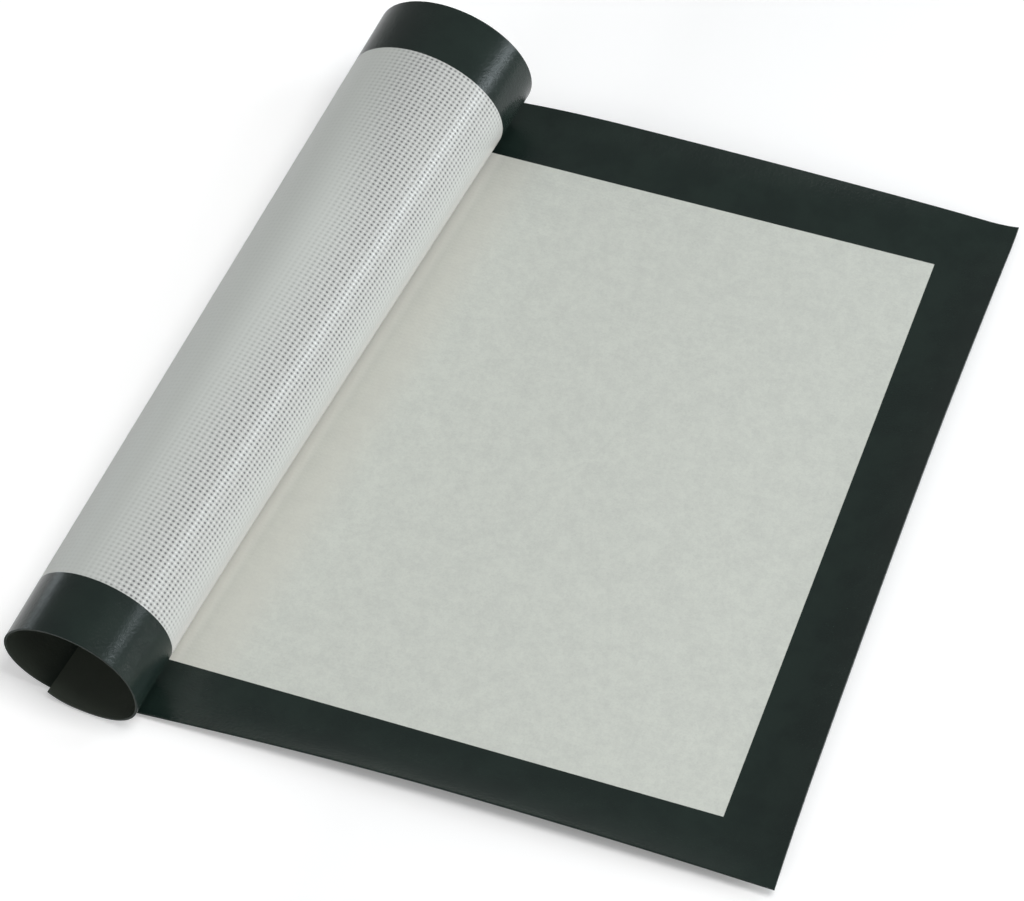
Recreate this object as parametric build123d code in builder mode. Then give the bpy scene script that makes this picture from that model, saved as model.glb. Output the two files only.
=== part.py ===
from build123d import *
import math
import os

# Silicone baking mat, lying flat with its left end rolled up and over on itself.
# The mat is a sandwich: a woven glass cloth between two silicone coats. Each coat is
# a pale panel inside a dark border, and the two borders seal the cloth's cut edges.
# +X runs along the mat's length away from the roll, +Y across it, +Z up.
# The origin is on the underside, at mid-width and halfway along the flat run.

# Sheet, as cut
mat_length = 390.0
mat_width = 300.0
border_width = 24.5
coat_thickness = 0.25
cloth_thickness = 0.25
edge_seal = 2.0

# Roll: the cone-shaped coil that starts where the sheet leaves the table
flat_run = 225.5
roll_half_width_near = 25.5
roll_half_width_far = 31.8
lap_gap = 0.5
contact_yaw_degrees = 5.1
roll_height_share = 0.82

# Sections that the roll's curves pass through
roll_section_count = 36
lap_section_count = 6
lip_section_count = 2

# Levels through the sheet, from its underside
cloth_low = coat_thickness
cloth_high = cloth_low + cloth_thickness
sheet_top = cloth_high + coat_thickness
lap_pitch = sheet_top + lap_gap

# Edges of the sheet, while it is flat
near_y = -mat_width / 2
far_y = mat_width / 2
contact_x = -flat_run / 2
outer_x = contact_x + flat_run
free_x = outer_x - mat_length

# The roll is part of a cone: its straight lines meet in one point on the table
contact_yaw = math.radians(contact_yaw_degrees)
along_roll = Vector(math.sin(contact_yaw), math.cos(contact_yaw), 0)
off_roll = Vector(math.cos(contact_yaw), -math.sin(contact_yaw), 0)
upward = Vector(0, 0, 1)
half_width_mean = (roll_half_width_near + roll_half_width_far) / 2
half_width_growth = roll_half_width_far - roll_half_width_near
cone_slope = half_width_growth / (mat_width / math.cos(contact_yaw))
cone_apex = Vector(contact_x, 0, 0) - along_roll * (half_width_mean / cone_slope)

# Share of a plain circle's girth that the flattened, tightening coil has
flattened_share = math.sqrt((1 + roll_height_share**2) / 2)
tightened_share = 1 - (lap_pitch + sheet_top) / 2 / half_width_mean
fan_per_turn = cone_slope * flattened_share * tightened_share


def turn_at(line_x, edge_y):
    """How far the sheet has turned where its line x = line_x crosses this edge."""
    slant = math.atan2(line_x - cone_apex.X, edge_y - cone_apex.Y)
    return (contact_yaw - slant) / fan_per_turn


def inward(turn):
    """Square to the sheet, towards the inside of the coil."""
    return (off_roll * (roll_height_share * math.sin(turn)) + upward * math.cos(turn)).normalized()


def rim_point(edge_y, turn):
    """Place of the sheet's underside on one of its long edges, after this turn."""
    slant = contact_yaw - fan_per_turn * turn
    reach = (edge_y - cone_apex.Y) / math.cos(slant)
    sideways = off_roll * (-math.sin(turn))
    rise = upward * (roll_height_share * (1 - math.cos(turn)))
    heading = along_roll + (sideways + rise) * cone_slope
    inset = lap_pitch * turn / (2 * math.pi)
    return cone_apex + heading.normalized() * reach + inward(turn) * inset


def slab(low_y, high_y, low_level, high_level):
    """Plain section of a layer: its corners, each with its place across the sheet and level."""
    return [(low_y, low_level), (high_y, low_level), (high_y, high_level), (low_y, high_level)]


def section_points(near_turn, far_turn, corners):
    """Corners of a layer's section along the straight line between two points of the rims."""
    near_point = rim_point(near_y, near_turn)
    across = rim_point(far_y, far_turn) - near_point
    depth_way = inward(near_turn) + inward(far_turn)
    section = Plane(origin=near_point, x_dir=across, z_dir=across.cross(depth_way))
    stretch = across.length / mat_width
    return [section.from_local_coords(((y - near_y) * stretch, level, 0)) for y, level in corners]


def roll_layer(start_turns, stop_turns, corners, section_count):
    """One layer of the roll between two of its lines, each given by its turn at each rim."""
    shares = [count / section_count for count in range(section_count + 1)]
    sections = [
        section_points(*(a + share * (b - a) for a, b in zip(start_turns, stop_turns)), corners)
        for share in shares
    ]
    rims = [Edge.make_spline(points, parameters=shares) for points in zip(*sections)]
    walls = [
        Face.make_surface_from_curves(rim, next_rim)
        for rim, next_rim in zip(rims, rims[1:] + rims[:1])
    ]
    ends = [Face(Wire.make_polygon(sections[0])), Face(Wire.make_polygon(sections[-1]))]
    add(Solid(Shell(walls + ends)))


def contact_line(edge_y):
    """X of the line where the flat sheet starts to roll."""
    return contact_x + edge_y * math.tan(contact_yaw)


# Turns of the sheet at the near and far rims: where it leaves the table, at the border's
# inner edge, at the cloth's cut edge and at the sheet's own cut edge inside the roll
contact_turns = [0, 0]
border_turns = [turn_at(free_x + border_width, edge_y) for edge_y in (near_y, far_y)]
seal_turns = [turn_at(free_x + edge_seal, edge_y) for edge_y in (near_y, far_y)]
free_turns = [turn_at(free_x, edge_y) for edge_y in (near_y, far_y)]


def flat_layer(corners, low_level, high_level):
    """Extrude one layer of the flat run."""
    with BuildSketch(Plane.XY.offset(low_level)) as flat_outline:
        with BuildLine():
            Polyline(*corners, close=True)
        make_face()
    extrude(flat_outline.sketch, amount=high_level - low_level)


def flat_sheet(inset, low_level, high_level):
    """Flat run of a layer that stops this far inside the sheet's edges."""
    low_y, high_y, stop_x = near_y + inset, far_y - inset, outer_x - inset
    corners = [
        (contact_line(low_y), low_y),
        (stop_x, low_y),
        (stop_x, high_y),
        (contact_line(high_y), high_y),
    ]
    flat_layer(corners, low_level, high_level)


def flat_frame(width, low_level, high_level):
    """Flat run of a frame of this width along the sheet's three edges there."""
    inner_near_y, inner_far_y, inner_x = near_y + width, far_y - width, outer_x - width
    corners = [
        (contact_line(near_y), near_y),
        (outer_x, near_y),
        (outer_x, far_y),
        (contact_line(far_y), far_y),
        (contact_line(inner_far_y), inner_far_y),
        (inner_x, inner_far_y),
        (inner_x, inner_near_y),
        (contact_line(inner_near_y), inner_near_y),
    ]
    flat_layer(corners, low_level, high_level)


def coat_panel(low_level, high_level):
    """Pale silicone inside the border."""
    section = slab(near_y + border_width, far_y - border_width, low_level, high_level)
    flat_sheet(border_width, low_level, high_level)
    roll_layer(contact_turns, border_turns, section, roll_section_count)


# Woven glass cloth, the core that keeps the mat from stretching
with BuildPart() as glass_cloth:
    cloth_section = slab(near_y + edge_seal, far_y - edge_seal, cloth_low, cloth_high)
    flat_sheet(edge_seal, cloth_low, cloth_high)
    roll_layer(contact_turns, border_turns, cloth_section, roll_section_count)
    roll_layer(border_turns, seal_turns, cloth_section, lap_section_count)
glass_cloth.part.label = "glass_cloth"

# Upper coat, the side that food lies on: it ends up inside the roll
with BuildPart() as upper_coat:
    coat_panel(cloth_high, sheet_top)
upper_coat.part.label = "upper_coat"

# Lower coat, the side that shows the weave: it ends up outside the roll
with BuildPart() as lower_coat:
    coat_panel(0, cloth_low)
lower_coat.part.label = "lower_coat"

# Upper border, the dark frame round the upper coat
with BuildPart() as upper_border:
    flat_frame(border_width, cloth_high, sheet_top)
    for low_y, high_y in ((near_y, near_y + border_width), (far_y - border_width, far_y)):
        band_section = slab(low_y, high_y, cloth_high, sheet_top)
        roll_layer(contact_turns, border_turns, band_section, roll_section_count)
    end_section = slab(near_y, far_y, cloth_high, sheet_top)
    roll_layer(border_turns, seal_turns, end_section, lap_section_count)
    roll_layer(seal_turns, free_turns, end_section, lip_section_count)
upper_border.part.label = "upper_border"

# Lower border, the dark frame round the lower coat. Its lip runs round the cloth's cut
# edge and meets the upper border, so the cloth is sealed in silicone on all sides.
near_lip_y = near_y + edge_seal
far_lip_y = far_y - edge_seal
near_band = [
    (near_y, 0),
    (near_y + border_width, 0),
    (near_y + border_width, cloth_low),
    (near_lip_y, cloth_low),
    (near_lip_y, cloth_high),
    (near_y, cloth_high),
]
far_band = [
    (far_y, 0),
    (far_y, cloth_high),
    (far_lip_y, cloth_high),
    (far_lip_y, cloth_low),
    (far_y - border_width, cloth_low),
    (far_y - border_width, 0),
]
lap_band = [
    (near_y, 0),
    (far_y, 0),
    (far_y, cloth_high),
    (far_lip_y, cloth_high),
    (far_lip_y, cloth_low),
    (near_lip_y, cloth_low),
    (near_lip_y, cloth_high),
    (near_y, cloth_high),
]
with BuildPart() as lower_border:
    flat_frame(border_width, 0, cloth_low)
    flat_frame(edge_seal, cloth_low, cloth_high)
    roll_layer(contact_turns, border_turns, near_band, roll_section_count)
    roll_layer(contact_turns, border_turns, far_band, roll_section_count)
    roll_layer(border_turns, seal_turns, lap_band, lap_section_count)
    roll_layer(seal_turns, free_turns, slab(near_y, far_y, 0, cloth_high), lip_section_count)
lower_border.part.label = "lower_border"

os.makedirs("parts", exist_ok=True)
for piece in (glass_cloth, upper_coat, lower_coat, upper_border, lower_border):
    export_step(piece.part, f"parts/{piece.part.label}.step")
    print(piece.part.label, len(piece.part.solids()), "solid,", round(piece.part.volume, 1), "mm3")

near_degrees, far_degrees = (round(math.degrees(turn)) for turn in free_turns)
print("the free edge has turned", near_degrees, "degrees at the near rim,", far_degrees, "at the far")
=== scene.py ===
import math

import bpy
import numpy as np
from mathutils import Matrix, Vector


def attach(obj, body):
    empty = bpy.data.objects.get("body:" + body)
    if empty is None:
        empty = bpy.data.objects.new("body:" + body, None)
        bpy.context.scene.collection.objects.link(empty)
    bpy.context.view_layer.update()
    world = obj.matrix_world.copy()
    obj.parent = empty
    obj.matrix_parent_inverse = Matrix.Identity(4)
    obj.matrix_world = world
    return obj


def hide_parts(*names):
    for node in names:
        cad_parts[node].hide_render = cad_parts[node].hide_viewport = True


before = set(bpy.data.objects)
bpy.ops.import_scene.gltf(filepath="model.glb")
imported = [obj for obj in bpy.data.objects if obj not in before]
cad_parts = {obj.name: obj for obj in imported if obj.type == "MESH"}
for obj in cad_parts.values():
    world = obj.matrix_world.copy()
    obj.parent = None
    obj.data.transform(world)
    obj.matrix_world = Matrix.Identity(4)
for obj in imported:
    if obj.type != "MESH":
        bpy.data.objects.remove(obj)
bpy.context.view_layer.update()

bpy.ops.object.select_all(action="DESELECT")

# Silicone baking mat with its left end rolled up. Every layer is laid out flat, as it was cut,
# and is then put in place on the table and round the roll. Lengths are in metres.
sheet = {
    "length": 0.390,
    "width": 0.300,
    "border": 0.0245,
    "coat": 0.00025,
    "cloth": 0.00025,
    "seal": 0.002,  # silicone past the cloth's cut edge
    "sharpAngle": math.radians(35),  # between faces that aren't shaded as one
}
roll = {
    "flatRun": 0.2255,
    "halfWidthNear": 0.0255,
    "halfWidthFar": 0.0318,
    "lapGap": 0.0005,
    "yaw": math.radians(5.1),
    "heightShare": 0.82,
    "lines": 241,  # lines of the roll that the layers are placed between, in each of its stretches
    "fineReach": 0.03,  # the meshes stay fine this far past the line where the sheet leaves the table
}
# The roll has settled a little at its near end, where its last turn meets the flat run
settled = {
    "turn": math.radians(309),
    "reach": math.radians(52),
    "bulge": 0.00195,
    "freeLift": 0.0009,  # the free corner stands off the turn below it by this much more
    "freeTurn": math.radians(362),
    "along": 0.10,
}
# The border curls up off the table: how high its underside stands at the start, the peak and the end
curl = {
    "near": {"start": 0.0, "peak": 0.0065, "peakShare": 0.56, "end": 0.0044},
    "far": {"start": 0.0, "peak": 0.0064, "peakShare": 0.30, "end": 0.0016},
    "right": {"start": 0.0044, "peak": 0.0068, "peakShare": 0.55, "end": 0.0018},
    "easeFromRoll": 0.018,
    "cornerFlick": 0.0012,
    "flickReach": 0.012,
    "outOfSquare": 0.0005146,  # the cut edge runs out by this at the near right corner
    "outOfSquareReach": 0.0495,
    "slopeStep": 0.0005,  # a slope is measured over this far each way
}
weave = {
    "pitchAlong": 0.00174,
    "pitchAcross": 0.00167,
    "waver": 0.0009,  # the yarns wander within this width
    "waverNoise": (45, 2.0, 0.5),
}

clothLow = sheet["coat"]
clothHigh = clothLow + sheet["cloth"]
sheetTop = clothHigh + sheet["coat"]
lapPitch = sheetTop + roll["lapGap"]
nearY, farY = -sheet["width"] / 2, sheet["width"] / 2
contactX = -roll["flatRun"] / 2
outerX = contactX + roll["flatRun"]
freeX = outerX - sheet["length"]
fineX = contactX + roll["fineReach"]
innerNearY, innerFarY = nearY + sheet["border"], farY - sheet["border"]
innerX, rolledInnerX = outerX - sheet["border"], freeX + sheet["border"]
weaveRows = round((innerX - rolledInnerX) / weave["pitchAlong"])
weaveLines = round((innerFarY - innerNearY) / weave["pitchAcross"])
rowPitch, linePitch = (innerX - rolledInnerX) / weaveRows, (innerFarY - innerNearY) / weaveLines

# The roll is part of a flattened cone, whose straight lines meet in one point on the table
alongRoll = np.array([math.sin(roll["yaw"]), math.cos(roll["yaw"]), 0.0])
offRoll = np.array([math.cos(roll["yaw"]), -math.sin(roll["yaw"]), 0.0])
upward = np.array([0.0, 0.0, 1.0])
halfWidthMean = (roll["halfWidthNear"] + roll["halfWidthFar"]) / 2
coneSlope = (roll["halfWidthFar"] - roll["halfWidthNear"]) / (sheet["width"] / math.cos(roll["yaw"]))
coneApex = np.array([contactX, 0.0, 0.0]) - alongRoll * (halfWidthMean / coneSlope)
flattenedShare = math.sqrt((1 + roll["heightShare"] ** 2) / 2)
tightenedShare = 1 - (lapPitch + sheetTop) / 2 / halfWidthMean
fanPerTurn = coneSlope * flattenedShare * tightenedShare


def unit(vectors):
    return vectors / np.linalg.norm(vectors, axis=-1, keepdims=True)


# How far the sheet has turned where its line at lineX crosses this edge
def turnAt(lineX, edgeY):
    slant = np.arctan2(lineX - coneApex[0], edgeY - coneApex[1])
    return (roll["yaw"] - slant) / fanPerTurn


# The same the other way: where the line of this turn crosses the edge of the flat sheet
def flatXAt(turn, edgeY):
    return coneApex[0] + np.tan(roll["yaw"] - fanPerTurn * turn) * (edgeY - coneApex[1])


# Square to the sheet, towards the inside of the coil
def inward(turn):
    across = offRoll * (roll["heightShare"] * np.sin(turn))[..., None]
    return unit(across + upward * np.cos(turn)[..., None])


# Place of the sheet's underside on one of its long edges, after this turn
def rimPoint(edgeY, turn):
    reach = (edgeY - coneApex[1]) / np.cos(roll["yaw"] - fanPerTurn * turn)
    sideways = offRoll * (-np.sin(turn))[..., None]
    rise = upward * (roll["heightShare"] * (1 - np.cos(turn)))[..., None]
    heading = unit(alongRoll + (sideways + rise) * coneSlope)
    inset = lapPitch * turn / (2 * math.pi)
    return coneApex + heading * reach[..., None] + inward(turn) * inset[..., None]


# Lines of the roll, from where the sheet leaves the table to its free edge: their turn and flat x
# at each rim
def rollLines():
    stops = [np.zeros(2)] + [
        np.array([turnAt(freeX + inset, y) for y in (nearY, farY)])
        for inset in (sheet["border"], sheet["seal"], 0.0)
    ]
    turns = [
        start + share * (stop - start)
        for start, stop in zip(stops, stops[1:])
        for share in np.linspace(0, 1, roll["lines"])
    ]
    nearTurns, farTurns = np.array(turns).T
    return nearTurns, farTurns, flatXAt(nearTurns, nearY), flatXAt(farTurns, farY)


nearTurns, farTurns, nearXs, farXs = rollLines()


# How far the layers stand in from the plain coil, which is less than nothing where the roll bulges
def settling(y, nearTurn):
    closeness = 1 - np.clip(np.abs(nearTurn - settled["turn"]) / settled["reach"], 0, 1)
    last = np.clip((nearTurn - settled["freeTurn"]) / (nearTurns[-1] - settled["freeTurn"]), 0, 1)
    inset = settled["freeLift"] * last ** 2 - settled["bulge"] * np.sin(closeness * math.pi / 2) ** 2
    return inset * np.clip(1 - (y - nearY) / settled["along"], 0, 1) ** 2


# Place in the roll of points given by their place on the flat sheet
def placeInRoll(x, y, level):
    count = np.arange(len(nearTurns), dtype=float)
    line = np.empty_like(x)
    for across in np.unique(y):
        share = (across - nearY) / sheet["width"]
        lineXs = nearXs + share * (farXs - nearXs)
        here = y == across
        line[here] = np.interp(-x[here], -lineXs, count)
    nearTurn = np.interp(line, count, nearTurns)
    farTurn = np.interp(line, count, farTurns)
    nearPoint = rimPoint(nearY, nearTurn)
    width = rimPoint(farY, farTurn) - nearPoint
    depth = inward(nearTurn) + inward(farTurn)
    widthWay = unit(width)
    depthWay = unit(depth - widthWay * (depth * widthWay).sum(-1, keepdims=True))
    share = (y - nearY) / sheet["width"]
    return nearPoint + width * share[..., None] + depthWay * (level + settling(y, nearTurn))[..., None]


# Height along a curled edge, from its start over its peak to its end
def arch(share, edge):
    share = np.clip(share, 0, 1)
    before = (edge["peakShare"] - share) / edge["peakShare"]
    after = (share - edge["peakShare"]) / (1 - edge["peakShare"])
    rising = edge["peak"] - (edge["peak"] - edge["start"]) * before ** 2
    falling = edge["peak"] - (edge["peak"] - edge["end"]) * after ** 2
    return np.where(share < edge["peakShare"], rising, falling)


# Height of the sheet's underside above the table, and how far it is shifted by its curl and its cut
def liftOff(x, y):
    contact = contactX + y * math.tan(roll["yaw"])
    alongShare = (x - contact) / (outerX - contact)
    ease = np.clip((x - contact) / curl["easeFromRoll"], 0, 1)
    ease = ease * ease * (3 - 2 * ease)
    near = np.clip((innerNearY - y) / sheet["border"], 0, 1)
    far = np.clip((y - innerFarY) / sheet["border"], 0, 1)
    right = np.clip((x - innerX) / sheet["border"], 0, 1)
    nearLift = arch(alongShare, curl["near"]) * ease
    farLift = arch(alongShare, curl["far"]) * ease
    rightLift = arch((y - nearY) / sheet["width"], curl["right"])
    height = (nearLift * near ** 2 + farLift * far ** 2) * (1 - right ** 2 / 2)
    height += rightLift * right ** 2 * (1 - (near ** 2 + far ** 2) / 2)
    flick = np.clip(1 - (outerX - x + farY - y) / curl["flickReach"], 0, 1)
    height += curl["cornerFlick"] * flick ** 2
    drawnIn = 2 / (3 * sheet["border"])
    runOut = np.clip(1 - (y - nearY) / curl["outOfSquareReach"], 0, 1)
    shiftX = -drawnIn * rightLift ** 2 * right ** 3 + curl["outOfSquare"] * runOut ** 2 * right
    shiftY = drawnIn * (nearLift ** 2 * near ** 3 - farLift ** 2 * far ** 3)
    return height, shiftX, shiftY


# Place on the table of the same, square to the sheet where it curls up
def placeOnTable(x, y, level):
    step = curl["slopeStep"]
    height, shiftX, shiftY = liftOff(x, y)
    slopeX = (liftOff(x + step, y)[0] - liftOff(x - step, y)[0]) / (2 * step)
    slopeY = (liftOff(x, y + step)[0] - liftOff(x, y - step)[0]) / (2 * step)
    facing = unit(np.stack([-slopeX, -slopeY, np.ones_like(x)], -1))
    return np.stack([x + shiftX, y + shiftY, height], -1) + facing * level[..., None]


def placeSheet(points):
    x, y, level = points.T
    placed = placeOnTable(x, y, level)
    rolled = x < contactX + y * math.tan(roll["yaw"])
    placed[rolled] = placeInRoll(x[rolled], y[rolled], level[rolled])
    return placed


# Grid lines with one at each stop, and about each step between the stops
def gridLines(stops, steps):
    lines = [stops[0]]
    for low, high, step in zip(stops, stops[1:], steps):
        count = max(1, round(abs(high - low) / step))
        lines += list(np.linspace(low, high, count + 1)[1:])
    return np.array(lines)


def middles(lines):
    return (lines[1:] + lines[:-1]) / 2


# Numbers of a cell's four corners, in turn, in a grid with this many points in a row
def cellCorners(i, j, columns):
    before, after = i * columns + j, (i + 1) * columns + j
    return before, after, after + 1, before + 1


# Closed slab over the cells that keep says yes to: its underside, its top and its cut faces
def slabMesh(xs, ys, low, high, keep):
    columns = len(ys)
    middleX, middleY = middles(xs), middles(ys)
    kept = keep(middleX[:, None], middleY[None, :])
    grid = [(x, y) for x in xs for y in ys]
    points = [(x, y, low(x, y)) for x, y in grid] + [(x, y, high(x, y)) for x, y in grid]
    above = len(grid)
    faces = []
    for i, j in zip(*np.nonzero(kept)):
        a, b, c, d = cellCorners(i, j, columns)
        faces.append((a, d, c, b))
        faces.append((a + above, b + above, c + above, d + above))
        sides = (
            (a, b, j > 0 and kept[i, j - 1]),
            (b, c, i + 1 < len(middleX) and kept[i + 1, j]),
            (c, d, j + 1 < len(middleY) and kept[i, j + 1]),
            (d, a, i > 0 and kept[i - 1, j]),
        )
        faces += [(p, q, q + above, p + above) for p, q, joined in sides if not joined]
    return np.array(points), faces


# Leaves out the points that no face uses, puts the layer in place and makes its object
def makeLayer(name, node, slot, points, faces):
    used = np.unique(np.concatenate([np.array(face) for face in faces]))
    renumbered = np.full(len(points), -1)
    renumbered[used] = np.arange(len(used))
    points = points[used]
    faces = [[int(renumbered[corner]) for corner in face] for face in faces]
    mesh = bpy.data.meshes.new(name)
    mesh.from_pydata([tuple(p) for p in placeSheet(points)], [], faces)
    flatPlace = mesh.attributes.new("flatPlace", "FLOAT_VECTOR", "POINT")
    flatPlace.data.foreach_set("vector", points.astype(np.float32).ravel())
    mesh.update()
    mesh.polygons.foreach_set("use_smooth", [True] * len(mesh.polygons))
    mesh.set_sharp_from_angle(angle=sheet["sharpAngle"])
    piece = bpy.data.objects.new(name, mesh)
    bpy.context.scene.collection.objects.link(piece)
    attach(piece, "root")
    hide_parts(node)
    print(name, len(mesh.polygons), "faces")
    return piece


def even(value):
    return lambda x, y: value


def everywhere(x, y):
    return (x < outerX) & (y < farY)


def inPanel(x, y):
    return (x > rolledInnerX) & (x < innerX) & (y > innerNearY) & (y < innerFarY)


def inFrame(x, y):
    return ~inPanel(x, y)


# Upper coat, the smooth side that food lies on
upperCoatValues = {"rollStep": 0.0017, "tableStep": 0.004, "acrossStep": 0.004}


def upperCoatMesh():
    steps = (upperCoatValues["rollStep"], upperCoatValues["tableStep"])
    xs = gridLines((rolledInnerX, fineX, innerX), steps)
    ys = gridLines((innerNearY, innerFarY), (upperCoatValues["acrossStep"],))
    return slabMesh(xs, ys, even(clothHigh), even(sheetTop), inPanel)


upperCoat = makeLayer("smooth_upper_coat", "upper_coat", "pale_silicone_smooth", *upperCoatMesh())

# Lower coat: the silicone is pressed into the weave and has a pit between every four yarns
lowerCoatValues = {"pitDepth": 0.00014}


def pittedMesh():
    xs = np.linspace(rolledInnerX, innerX, weaveRows + 1)
    ys = np.linspace(innerNearY, innerFarY, weaveLines + 1)
    points, slabFaces = slabMesh(xs, ys, even(0.0), even(clothLow), inPanel)
    faces = [face for face in slabFaces if max(face) >= len(xs) * len(ys)]  # all but the underside
    pits = []
    for i, x in enumerate(middles(xs)):
        for j, y in enumerate(middles(ys)):
            a, b, c, d = cellCorners(i, j, len(ys))
            pit = len(points) + len(pits)
            pits.append((x, y, lowerCoatValues["pitDepth"]))
            faces += [(a, d, pit), (d, c, pit), (c, b, pit), (b, a, pit)]
    return np.vstack([points, pits]), faces


lowerCoat = makeLayer("meshed_lower_coat", "lower_coat", "pale_silicone_meshed", *pittedMesh())

# Borders: the dark frame on each side. The lower one has a lip that seals the cloth's cut edge.
borderValues = {
    "rollStep": 0.0017,
    "tableStep": 0.004,
    "stripStep": 0.0016,
    "acrossStep": 0.005,
    "lipStep": 0.001,
}


def borderSteps(*keys):
    return tuple(borderValues[key] for key in keys)


def borderLines():
    xs = gridLines(
        (freeX, freeX + sheet["seal"], rolledInnerX, fineX, innerX, outerX - sheet["seal"], outerX),
        borderSteps("lipStep", "rollStep", "rollStep", "tableStep", "stripStep", "lipStep"),
    )
    ys = gridLines(
        (nearY, nearY + sheet["seal"], innerNearY, innerFarY, farY - sheet["seal"], farY),
        borderSteps("lipStep", "stripStep", "acrossStep", "stripStep", "lipStep"),
    )
    return xs, ys


borderXs, borderYs = borderLines()
upperBorder = makeLayer(
    "upper_dark_border",
    "upper_border",
    "dark_silicone",
    *slabMesh(borderXs, borderYs, even(clothHigh), even(sheetTop), inFrame),
)


# The lower border is one layer high, and two where its lip is
def lippedMesh():
    columns = len(borderYs)
    middleX, middleY = middles(borderXs)[:, None], middles(borderYs)[None, :]
    lip = (
        (middleX < freeX + sheet["seal"])
        | (middleX > outerX - sheet["seal"])
        | (middleY < nearY + sheet["seal"])
        | (middleY > farY - sheet["seal"])
    )
    grid = [(x, y) for x in borderXs for y in borderYs]
    points = np.array([(x, y, level) for level in (0.0, clothLow, clothHigh) for x, y in grid])
    layer = len(grid)
    layers = np.where(inFrame(middleX, middleY), np.where(lip, 2, 1), 0)
    faces = []

    def layersAt(i, j):
        inside = 0 <= i < layers.shape[0] and 0 <= j < layers.shape[1]
        return layers[i, j] if inside else 0

    for i, j in zip(*np.nonzero(layers)):
        a, b, c, d = cellCorners(i, j, columns)
        top = layer * layers[i, j]
        faces.append((a, d, c, b))
        faces.append((a + top, b + top, c + top, d + top))
        sides = ((a, b, (i, j - 1)), (b, c, (i + 1, j)), (c, d, (i, j + 1)), (d, a, (i - 1, j)))
        for p, q, beside in sides:
            for level in range(layersAt(*beside), layers[i, j]):
                low, high = layer * level, layer * (level + 1)
                faces.append((p + low, q + low, q + high, p + high))
    return points, faces


lowerBorder = makeLayer("lower_dark_border", "lower_border", "dark_silicone", *lippedMesh())

# Glass cloth, the woven core: the yarns pass over and under each other at every crossing
clothValues = {"weaveRelief": 0.00006}


def clothMesh():
    rows = round((sheet["length"] - 2 * sheet["seal"]) / weave["pitchAlong"])
    columns = round((sheet["width"] - 2 * sheet["seal"]) / weave["pitchAcross"])
    xs = np.linspace(freeX + sheet["seal"], outerX - sheet["seal"], rows + 1)
    ys = np.linspace(nearY + sheet["seal"], farY - sheet["seal"], columns + 1)
    over = {(x, y): (i + j) % 2 for i, x in enumerate(xs) for j, y in enumerate(ys)}
    return slabMesh(
        xs,
        ys,
        lambda x, y: clothLow + clothValues["weaveRelief"] * over[x, y],
        lambda x, y: clothHigh - clothValues["weaveRelief"] * (1 - over[x, y]),
        everywhere,
    )


glassCloth = makeLayer("woven_glass_cloth", "glass_cloth", "glass_cloth", *clothMesh())
print("layers made")


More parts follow.
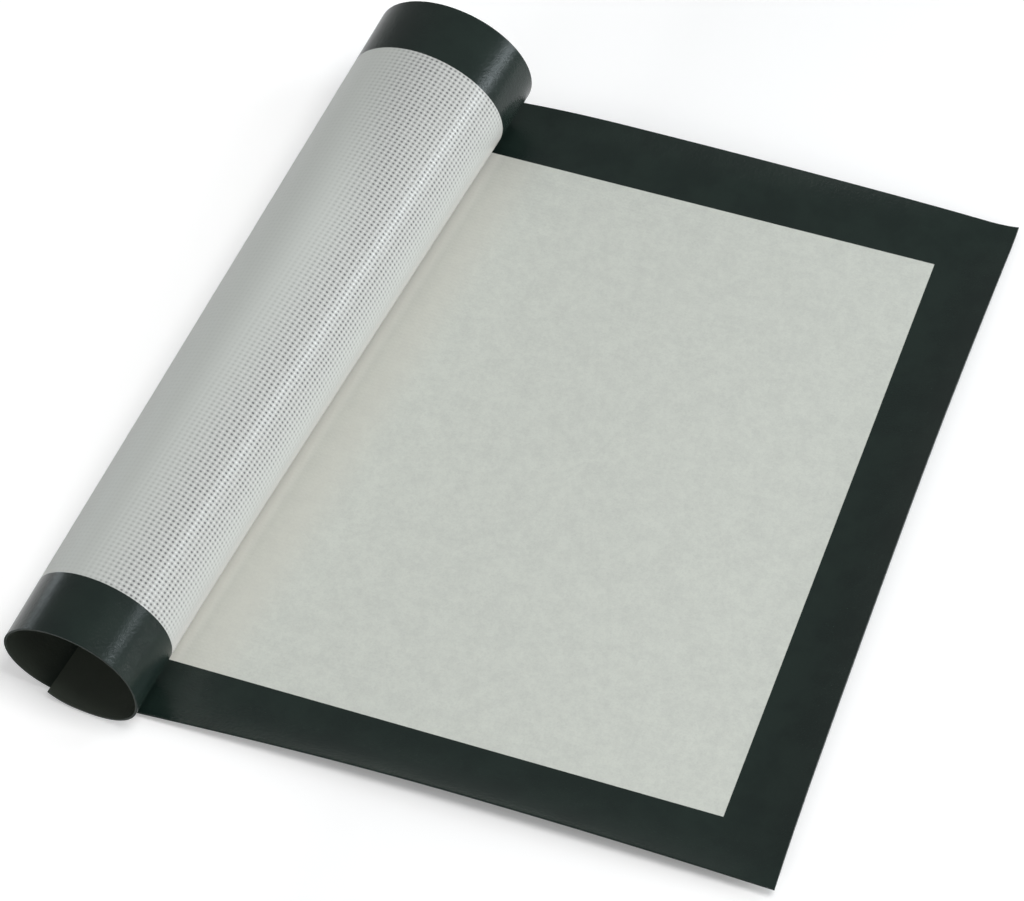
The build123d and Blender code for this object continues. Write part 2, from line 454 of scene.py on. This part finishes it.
# Material of a piece. On the sheet its nodes read each point's place on it while flat, so that the
# weave follows the roll.
class Finish:
    def __init__(self, name, values, onSheet=True):
        self.material = bpy.data.materials.new(name)
        self.material.use_nodes = True
        self.nodes = self.material.node_tree.nodes
        self.links = self.material.node_tree.links
        self.shader = self.nodes["Principled BSDF"]
        self.set("Roughness", values["roughness"])
        self.set("Specular IOR Level", values["specular"])
        if onSheet:
            place = self.nodes.new("ShaderNodeAttribute")
            place.attribute_name = "flatPlace"
            self.place = place.outputs["Vector"]
        else:
            self.place = self.nodes.new("ShaderNodeTexCoord").outputs["Object"]
        split = self.nodes.new("ShaderNodeSeparateXYZ")
        self.links.new(self.place, split.inputs[0])
        self.x, self.y, self.level = split.outputs

    # Sets a socket to a number, a colour or what another node gives
    def put(self, source, socket):
        if isinstance(source, tuple):
            socket.default_value = (*source, 1)
        elif isinstance(source, (int, float)):
            socket.default_value = source
        else:
            self.links.new(source, socket)

    def set(self, name, source):
        self.put(source, self.shader.inputs[name])

    def combine(self, operation, *values, clamp=False):
        node = self.nodes.new("ShaderNodeMath")
        node.operation = operation
        node.use_clamp = clamp
        for value, socket in zip(values, node.inputs):
            self.put(value, socket)
        return node.outputs[0]

    # Adds up the values, each times its share
    def total(self, *pairs):
        added = 0.0
        for value, share in pairs:
            added = self.combine("MULTIPLY_ADD", value, share, added)
        return added

    def noise(self, scale, detail, roughness):
        node = self.nodes.new("ShaderNodeTexNoise")
        node.inputs["Scale"].default_value = scale
        node.inputs["Detail"].default_value = detail
        node.inputs["Roughness"].default_value = roughness
        self.links.new(self.place, node.inputs["Vector"])
        return node.outputs["Fac"]

    def between(self, source, low, high, lowValue=0.0, highValue=1.0, ease="SMOOTHSTEP"):
        node = self.nodes.new("ShaderNodeMapRange")
        node.interpolation_type = ease
        self.put(source, node.inputs["Value"])
        limits = {"From Min": low, "From Max": high, "To Min": lowValue, "To Max": highValue}
        for name, value in limits.items():
            self.put(value, node.inputs[name])
        return node.outputs[0]

    def mix(self, share, low, high):
        node = self.nodes.new("ShaderNodeMix")
        node.data_type = "RGBA"
        self.put(share, node.inputs["Factor"])
        self.put(low, node.inputs["A"])
        self.put(high, node.inputs["B"])
        return node.outputs["Result"]

    # Flat x, measured square to the line where the sheet leaves the table
    def pastContact(self):
        return self.combine("SUBTRACT", self.x, self.combine("MULTIPLY", self.y, math.tan(roll["yaw"])))

    # Cosine of each set of yarns: 1 on every yarn when turns is 1, and by turns 1 and -1 when it is 0.5
    def yarns(self, turns):
        wander = self.combine("SUBTRACT", self.noise(*weave["waverNoise"]), 0.5)
        waver = self.combine("MULTIPLY", wander, weave["waver"])
        cosines = []
        for place, start, pitch in ((self.x, innerX, rowPitch), (self.y, innerNearY, linePitch)):
            offset = self.combine("SUBTRACT", self.combine("ADD", place, waver), start)
            angle = self.combine("MULTIPLY", offset, 2 * math.pi * turns / pitch)
            cosines.append(self.combine("COSINE", angle))
        return cosines

    # 0 over the yarns, 1 in the middle of the gap between four of them
    def gaps(self):
        rows, lines = (self.combine("SUBTRACT", 1, cosine) for cosine in self.yarns(1))
        return self.combine("MULTIPLY", self.combine("MULTIPLY", rows, lines), 0.25)

    # 1 where two yarns cross, 0 in the gaps
    def overlaps(self):
        rows, lines = (self.combine("ADD", 1, cosine) for cosine in self.yarns(1))
        return self.combine("MULTIPLY", self.combine("MULTIPLY", rows, lines), 0.25)

    # 1 where one set of yarns passes over the other, -1 where it passes under
    def crossings(self):
        return self.combine("MULTIPLY", *self.yarns(0.5))

    def bump(self, height, distance, strength=1.0):
        node = self.nodes.new("ShaderNodeBump")
        self.put(strength, node.inputs["Strength"])
        node.inputs["Distance"].default_value = distance
        self.links.new(height, node.inputs["Height"])
        self.set("Normal", node.outputs["Normal"])


# In the values below, a noise is its scale, detail and roughness, and a mask is the two values that it
# runs between and, where these aren't 0 and 1, what it gives there. Flat x is about -0.165 at the
# roll's left side and about -0.24 at its right side.
smoothValues = {
    "colour": (0.575, 0.60, 0.55),
    "mottle": (0.49, 0.51, 0.475),
    # painted shade: the panel is darker and warmer beside the roll, as in the roll's shadow
    "paintedShadeBesideRoll": (0.555, 0.545, 0.49),
    # painted light: the panel is lighter along the crease next to the roll
    "paintedLightInCrease": (0.705, 0.70, 0.64),  # light comes through the thin sheet there
    "roughness": 0.42,
    "specular": 0.4,
    "cloudNoise": (140, 4, 0.6),
    "fineNoise": (520, 3, 0.6),
    "speckNoise": (1400, 2, 0.6),
    "cloudMask": (0.35, 0.65),
    "speckMask": (0.4, 0.7),
    "cloudShare": 0.3,
    "speckShare": 0.35,
    "fineShare": 0.35,
    "paintedShadeMask": (-0.066, -0.082, 0.0, 0.5),
    "creaseLightMask": (-0.0868, -0.0915),
    "creaseSlant": 0.016,  # the crease is further out at the wide end of the roll
    "speckBump": 0.25,
    "gapBump": -0.5,
    "relief": 0.00003,
}
smooth = Finish("pale_silicone_smooth", smoothValues)
cloud = smooth.between(smooth.noise(*smoothValues["cloudNoise"]), *smoothValues["cloudMask"])
speck = smooth.between(smooth.noise(*smoothValues["speckNoise"]), *smoothValues["speckMask"])
fine = smooth.between(smooth.noise(*smoothValues["fineNoise"]), *smoothValues["cloudMask"])
shade = smooth.total(
    (cloud, smoothValues["cloudShare"]),
    (speck, smoothValues["speckShare"]),
    (fine, smoothValues["fineShare"]),
)
tone = smooth.mix(shade, smoothValues["colour"], smoothValues["mottle"])
# Painted shade: the panel darkens and warms beside the roll
beside = smooth.between(smooth.pastContact(), *smoothValues["paintedShadeMask"])
tone = smooth.mix(beside, tone, smoothValues["paintedShadeBesideRoll"])
# Painted light: the panel is lighter along the crease
fromCrease = smooth.total((smooth.y, -smoothValues["creaseSlant"]), (smooth.pastContact(), 1))
crease = smooth.between(fromCrease, *smoothValues["creaseLightMask"])
smooth.set("Base Color", smooth.mix(crease, tone, smoothValues["paintedLightInCrease"]))
height = smooth.total((speck, smoothValues["speckBump"]), (smooth.gaps(), smoothValues["gapBump"]))
smooth.bump(height, smoothValues["relief"])
upperCoat.data.materials.append(smooth.material)

# The weave's light and shade are painted, strongest on the roll's upper right where light rakes across
# it, and further round at the wide end; they fade to the roll's left and right sides
meshedValues = {
    "plain": (0.575, 0.60, 0.57),
    "yarn": (0.465, 0.475, 0.46),
    "crossing": (0.61, 0.615, 0.61),
    # painted shade: the pits between the yarns are darkened
    "gap": (0.155, 0.16, 0.16),
    # painted shade: the roll's right side, down to the crease, is darker and warmer
    "paintedShadeOnRight": (0.535, 0.53, 0.51),
    # painted light: a pale band on the roll's flank next to the crease
    "paintedLightBesideCrease": (0.74, 0.73, 0.70),
    "roughness": 0.16,
    "leftRoughness": 0.40,
    "specular": 0.27,
    "wideEndMask": (0.03, 0.12, 0.0, -0.016),
    "leftFadeMask": (-0.187, -0.207, 0.09, 1.0),
    "rightFadeMask": (-0.235, -0.216, 0.06, 1.0),
    "fillNoise": (330, 2.0, 0.5),
    "fillMask": (0.35, 0.62, 0.68, 1.08),  # some gaps are fuller of silicone than others
    "gapMask": (0.28, 0.80),
    "crossingMask": (0.36, 0.95),
    "rightShadeMask": (-0.222, -0.238),
    "creaseStartMask": (-0.230, -0.239),
    "creaseEndMask": (-0.248, -0.241),
    "roughMask": (-0.200, -0.180),
    "crossingBump": 0.25,
    "gapBump": -1.0,
    "relief": 0.00006,
    "plainBumpShare": 0.25,  # of the relief is left where the weave hardly shows
}
meshed = Finish("pale_silicone_meshed", meshedValues)
nearer = meshed.combine("ADD", meshed.x, meshed.between(meshed.y, *meshedValues["wideEndMask"]))
# Painted light and shade of the weave: full on the roll's upper right, fading out on its left and right
# sides
paintedWeaveShading = meshed.combine(
    "MULTIPLY",
    meshed.between(nearer, *meshedValues["leftFadeMask"]),
    meshed.between(meshed.x, *meshedValues["rightFadeMask"]),
)
filled = meshed.between(meshed.noise(*meshedValues["fillNoise"]), *meshedValues["fillMask"])
# Painted shade in the pits between the yarns
gap = meshed.between(meshed.gaps(), *meshedValues["gapMask"])
gap = meshed.combine("MULTIPLY", gap, filled, clamp=True)
crossed = meshed.between(meshed.overlaps(), *meshedValues["crossingMask"])
woven = meshed.mix(crossed, meshedValues["yarn"], meshedValues["crossing"])
woven = meshed.mix(gap, woven, meshedValues["gap"])
# Painted shade on the roll's right side
rightShade = meshed.between(meshed.x, *meshedValues["rightShadeMask"])
plain = meshed.mix(rightShade, meshedValues["plain"], meshedValues["paintedShadeOnRight"])
# Painted light on the roll's flank next to the crease
creaseLightOnRoll = meshed.combine(
    "MULTIPLY",
    meshed.between(meshed.x, *meshedValues["creaseStartMask"]),
    meshed.between(meshed.x, *meshedValues["creaseEndMask"]),
)
plain = meshed.mix(creaseLightOnRoll, plain, meshedValues["paintedLightBesideCrease"])
meshed.set("Base Color", meshed.mix(paintedWeaveShading, plain, woven))
height = meshed.total(
    (meshed.crossings(), meshedValues["crossingBump"]),
    (meshed.gaps(), meshedValues["gapBump"]),
)
meshed.bump(height, meshedValues["relief"], meshed.between(paintedWeaveShading, 0, 1, meshedValues["plainBumpShare"]))
rough = (meshedValues["roughness"], meshedValues["leftRoughness"])
meshed.set("Roughness", meshed.between(meshed.x, *meshedValues["roughMask"], *rough))
lowerCoat.data.materials.append(meshed.material)

darkValues = {
    "colour": (0.0076, 0.0150, 0.0126),
    "greyed": (0.0100, 0.0190, 0.0156),
    # painted light: the border's food side inside the roll is lighter
    "inside": (0.050, 0.058, 0.048),  # the food side inside the roll
    "roughness": 0.24,
    "specular": 0.35,
    "cutSpecular": 0.08,  # the cut faces are matt
    "cutReach": 0.00012,
    "leftShare": 0.3,  # of the sheen is left where the roll turns down on its left
    "leftStartMask": (-0.130, -0.145),
    "leftEndMask": (-0.176, -0.164),
    "insideLightMask": (contactX - 0.004, contactX - 0.020),
    "cloudNoise": (60, 3, 0.6),
    "cloudMask": (0.35, 0.65),
    "blotchNoise": (900, 2, 0.6),
    "grainNoise": (2000, 2, 0.5),
    "blotchBump": 1.0,
    "grainBump": 0.5,
    "gapBump": -0.08,
    "relief": 0.00007,
}
dark = Finish("dark_silicone", darkValues)
cloud = dark.between(dark.noise(*darkValues["cloudNoise"]), *darkValues["cloudMask"])
tone = dark.mix(cloud, darkValues["colour"], darkValues["greyed"])
# Painted light: the border's food side inside the roll is lighter
rolledIn = dark.between(dark.pastContact(), *darkValues["insideLightMask"])
foodSide = dark.between(dark.level, clothHigh, sheetTop)
inside = dark.combine("MULTIPLY", rolledIn, foodSide)
dark.set("Base Color", dark.mix(inside, tone, darkValues["inside"]))
cut = dark.combine(
    "MAXIMUM",
    dark.between(dark.y, nearY + darkValues["cutReach"], nearY),
    dark.between(dark.y, farY - darkValues["cutReach"], farY),
)
leftSide = dark.combine(
    "MULTIPLY",
    dark.between(dark.x, *darkValues["leftStartMask"]),
    dark.between(dark.x, *darkValues["leftEndMask"]),
)
cutSheen = dark.between(cut, 0, 1, darkValues["specular"], darkValues["cutSpecular"])
leftSheen = dark.between(leftSide, 0, 1, 1.0, darkValues["leftShare"])
dark.set("Specular IOR Level", dark.combine("MULTIPLY", cutSheen, leftSheen))
height = dark.total(
    (dark.noise(*darkValues["blotchNoise"]), darkValues["blotchBump"]),
    (dark.noise(*darkValues["grainNoise"]), darkValues["grainBump"]),
    (dark.gaps(), darkValues["gapBump"]),
)
dark.bump(height, darkValues["relief"])
upperBorder.data.materials.append(dark.material)
lowerBorder.data.materials.append(dark.material)

yarnValues = {"over": (0.66, 0.67, 0.62), "under": (0.50, 0.51, 0.47), "roughness": 0.6, "specular": 0.3}
yarn = Finish("glass_cloth", yarnValues)
raised = yarn.between(yarn.crossings(), -1, 1)
yarn.set("Base Color", yarn.mix(raised, yarnValues["under"], yarnValues["over"]))
glassCloth.data.materials.append(yarn.material)
print("materials made")

# Floor: a pale table, which keeps the shadow. White is added to it for the camera and for reflections,
# more far away, and more on the roll's side, where this painted light lightens the roll's shadow on the
# table.
floorValues = {
    "size": 8.0,
    "level": -0.0001,
    "colour": (0.90, 0.90, 0.90),
    "roughness": 1.0,
    "specular": 0.0,
    "white": (1.0, 1.0, 1.0),
    "sideMask": (-0.17, -0.03, 0.34, 0.10),  # from left to right
    "farMask": (0.45, 2.2, 0.0, 0.45),  # by the distance from the mat
}
bpy.ops.mesh.primitive_plane_add(size=floorValues["size"], location=(0, 0, floorValues["level"]))
floor = bpy.context.object
floor.name = "floor"
table = Finish("floor", floorValues, onSheet=False)
path = table.nodes.new("ShaderNodeLightPath").outputs
seen = table.combine("MAXIMUM", path["Is Camera Ray"], path["Is Glossy Ray"])
seen = table.combine("MAXIMUM", seen, path["Is Transmission Ray"])
distance = table.nodes.new("ShaderNodeVectorMath")
distance.operation = "LENGTH"
table.put(table.place, distance.inputs[0])
# Painted light: more white on the roll's side
sideWhite = table.between(table.x, *floorValues["sideMask"], ease="LINEAR")
farWhite = table.between(distance.outputs["Value"], *floorValues["farMask"], ease="LINEAR")
whiteness = table.combine("MULTIPLY", seen, table.combine("ADD", sideWhite, farWhite))
table.set("Base Color", floorValues["colour"])
table.set("Emission Color", floorValues["white"])
table.set("Emission Strength", whiteness)
floor.data.materials.append(table.material)

# Lights: broad soft ones above, on the right and in front, a thin strip behind on the right, whose
# highlight runs down the roll, and a small weak one on the left
worldValues = {"colour": (1.0, 1.0, 1.0), "strength": 0.34}
world = bpy.data.worlds.new("studio")
bpy.context.scene.world = world
world.use_nodes = True
world.node_tree.nodes["Background"].inputs["Color"].default_value = (*worldValues["colour"], 1)
world.node_tree.nodes["Background"].inputs["Strength"].default_value = worldValues["strength"]
plainWhite, coolWhite = (1.0, 1.0, 1.0), (0.86, 0.95, 1.0)
lightValues = {
    "soft_above": {
        "at": (0.44, -0.20, 1.43),
        "to": (0.0, 0.0, 0.0),
        "along": (1, 0, 0),
        "long": 0.6,
        "wide": 0.6,
        "radiance": 6.7,
        "colour": plainWhite,
    },
    "soft_right": {
        "at": (1.20, -0.20, 0.40),
        "to": (-0.05, 0.0, 0.0),
        "along": (0, 1, 0),
        "long": 0.8,
        "wide": 0.4,
        "radiance": 6.0,
        "colour": plainWhite,
    },
    "soft_front": {
        "at": (-0.20, -1.50, 0.60),
        "to": (-0.1, -0.1, 0.0),
        "along": (1, 0, 0),
        "long": 0.8,
        "wide": 0.5,
        "radiance": 2.6,
        "colour": plainWhite,
    },
    "strip_right": {
        "at": (0.617, 0.492, 0.50),
        "to": (-0.09, 0.0, 0.04),
        "along": (0.133, 0.398, -0.295),
        "long": 0.70,
        "wide": 0.06,
        "radiance": 11.0,
        "colour": coolWhite,
    },
    "weak_left": {
        "at": (-0.78, 0.346, 0.13),
        "to": (-0.15, -0.10, 0.03),
        "along": (0.04, 0.067, 0.077),
        "long": 0.14,
        "wide": 0.03,
        "radiance": 14.0,
        "colour": coolWhite,
    },
}


# Puts an object in place with its own x, y and z along these three
def aim(piece, at, x, y, z):
    piece.matrix_world = Matrix.Translation(at) @ Matrix((x, y, z)).transposed().to_4x4()
    bpy.context.scene.collection.objects.link(piece)


# A light's brightness stays the same when its size changes
for name, values in lightValues.items():
    light = bpy.data.lights.new(name, "AREA")
    light.shape = "RECTANGLE"
    light.size, light.size_y = values["long"], values["wide"]
    light.color = values["colour"]
    light.energy = values["radiance"] * 4 * values["long"] * values["wide"]
    back = (Vector(values["at"]) - Vector(values["to"])).normalized()
    along = Vector(values["along"])
    along = (along - back * along.dot(back)).normalized()
    aim(bpy.data.objects.new(name, light), values["at"], along, back.cross(along), back)

# Camera at the photograph's angle
cameraValues = {
    "at": (0.287475, -0.877589, 1.153709),
    "azimuth": math.radians(19.7728),
    "elevation": math.radians(51.1683),
    "roll": math.radians(-0.643),
    "lens": 150.596,
    "sensor": 36.0,
}
azimuth, elevation, tilt = cameraValues["azimuth"], cameraValues["elevation"], cameraValues["roll"]
level = Vector((math.cos(azimuth), math.sin(azimuth), 0))
ahead = Vector((-math.sin(azimuth), math.cos(azimuth), 0))
back = Vector((0, 0, math.sin(elevation))) - ahead * math.cos(elevation)
above = back.cross(level)
camera = bpy.data.objects.new("camera", bpy.data.cameras.new("camera"))
camera.data.lens = cameraValues["lens"]
camera.data.sensor_width = cameraValues["sensor"]
camera.data.sensor_fit = "HORIZONTAL"
aim(
    camera,
    cameraValues["at"],
    level * math.cos(tilt) + above * math.sin(tilt),
    above * math.cos(tilt) - level * math.sin(tilt),
    back,
)
bpy.context.scene.camera = camera
bpy.context.scene.view_settings.view_transform = "Standard"
print("stage made")
